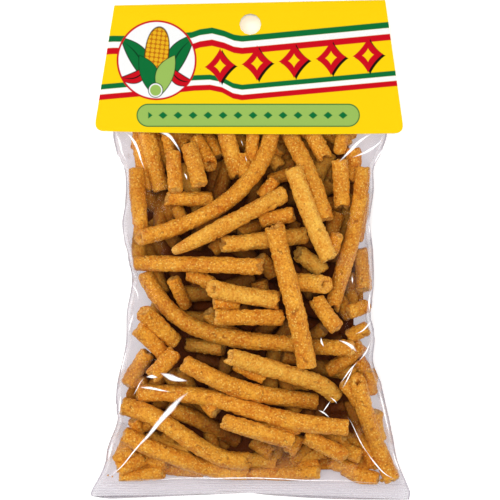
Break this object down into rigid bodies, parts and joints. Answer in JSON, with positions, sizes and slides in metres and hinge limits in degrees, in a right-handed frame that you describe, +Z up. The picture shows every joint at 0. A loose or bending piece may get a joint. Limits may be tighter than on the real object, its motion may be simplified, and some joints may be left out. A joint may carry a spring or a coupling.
{
  "type": "clear film header bag of fried corn sticks",
  "caption": "Sealed clear film bag packed with thick ridged corn sticks, lying on its back, with a folded yellow header card over its neck and a round hang hole",
  "frame": {"origin": "On the floor under the middle of the whole pack", "axes": "+Z up from the floor, towards the shown side; +Y along the pack towards the header card; +X to the right seen from the shown side"},
  "size_m": [0.1398, 0.2188, 0.0358],
  "materials": {
    "corn_sticks": "rough fried crust, golden",
    "film": "clear thin film",
    "card": "printed, satin coat"
  },
  "bodies": {
    "root": {"bag": "corn_sticks", "header_card": "card"}
  },
  "joints": []
}
